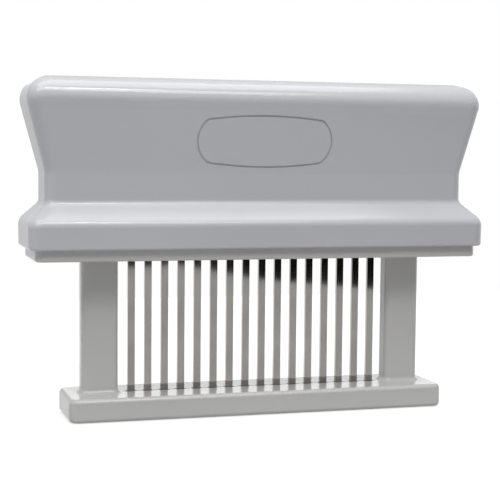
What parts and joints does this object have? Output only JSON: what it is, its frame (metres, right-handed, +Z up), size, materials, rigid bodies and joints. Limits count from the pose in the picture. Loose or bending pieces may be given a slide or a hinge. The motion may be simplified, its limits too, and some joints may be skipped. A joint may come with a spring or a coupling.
{
  "type": "blade meat tenderizer",
  "caption": "Hand-pressed meat tenderizer: a winged handle carries a row of thin blades down through a slotted foot, and springs on two legs lift it back.",
  "frame": {"origin": "middle of the foot's underside", "axes": "+X along the handle to the right, -Y the front, +Z up"},
  "size_m": [0.1472, 0.032, 0.105],
  "materials": {
    "handle_plastic": "glossy pale grey moulded ABS",
    "cover_plastic": "glossy pale grey moulded ABS",
    "foot_plastic": "glossy pale grey moulded ABS",
    "holder_plastic": "satin grey nylon",
    "blade_steel": "polished stainless strip",
    "clamp_steel": "stamped stainless",
    "screw_steel": "plated steel",
    "spring_steel": "spring wire"
  },
  "bodies": {
    "foot": {"foot_frame": "foot_plastic", "stop_plate_left": "clamp_steel", "stop_plate_right": "clamp_steel", "stop_screw_left": "screw_steel", "stop_screw_right": "screw_steel", "spring_left": "spring_steel", "spring_right": "spring_steel"},
    "handle": {"handle_shell": "handle_plastic", "bottom_cover": "cover_plastic", "blade_holder": "holder_plastic", "clamp_bar": "clamp_steel", "clamp_screws": "screw_steel", "cover_screws": "screw_steel", "blade_01": "blade_steel", "blade_02": "blade_steel", "blade_03": "blade_steel", "blade_04": "blade_steel", "blade_05": "blade_steel", "blade_06": "blade_steel", "blade_07": "blade_steel", "blade_08": "blade_steel", "blade_09": "blade_steel", "blade_10": "blade_steel", "blade_11": "blade_steel", "blade_12": "blade_steel", "blade_13": "blade_steel", "blade_14": "blade_steel", "blade_15": "blade_steel", "blade_16": "blade_steel"}
  },
  "joints": [
    {"name": "handle_press", "type": "slide", "parent": "foot", "child": "handle", "axis": [0, 0, -1], "range_m": [0, 0.034], "stiffness_N_per_m": 600, "springref_m": -0.01, "deforming": ["spring_left", "spring_right"]}
  ]
}
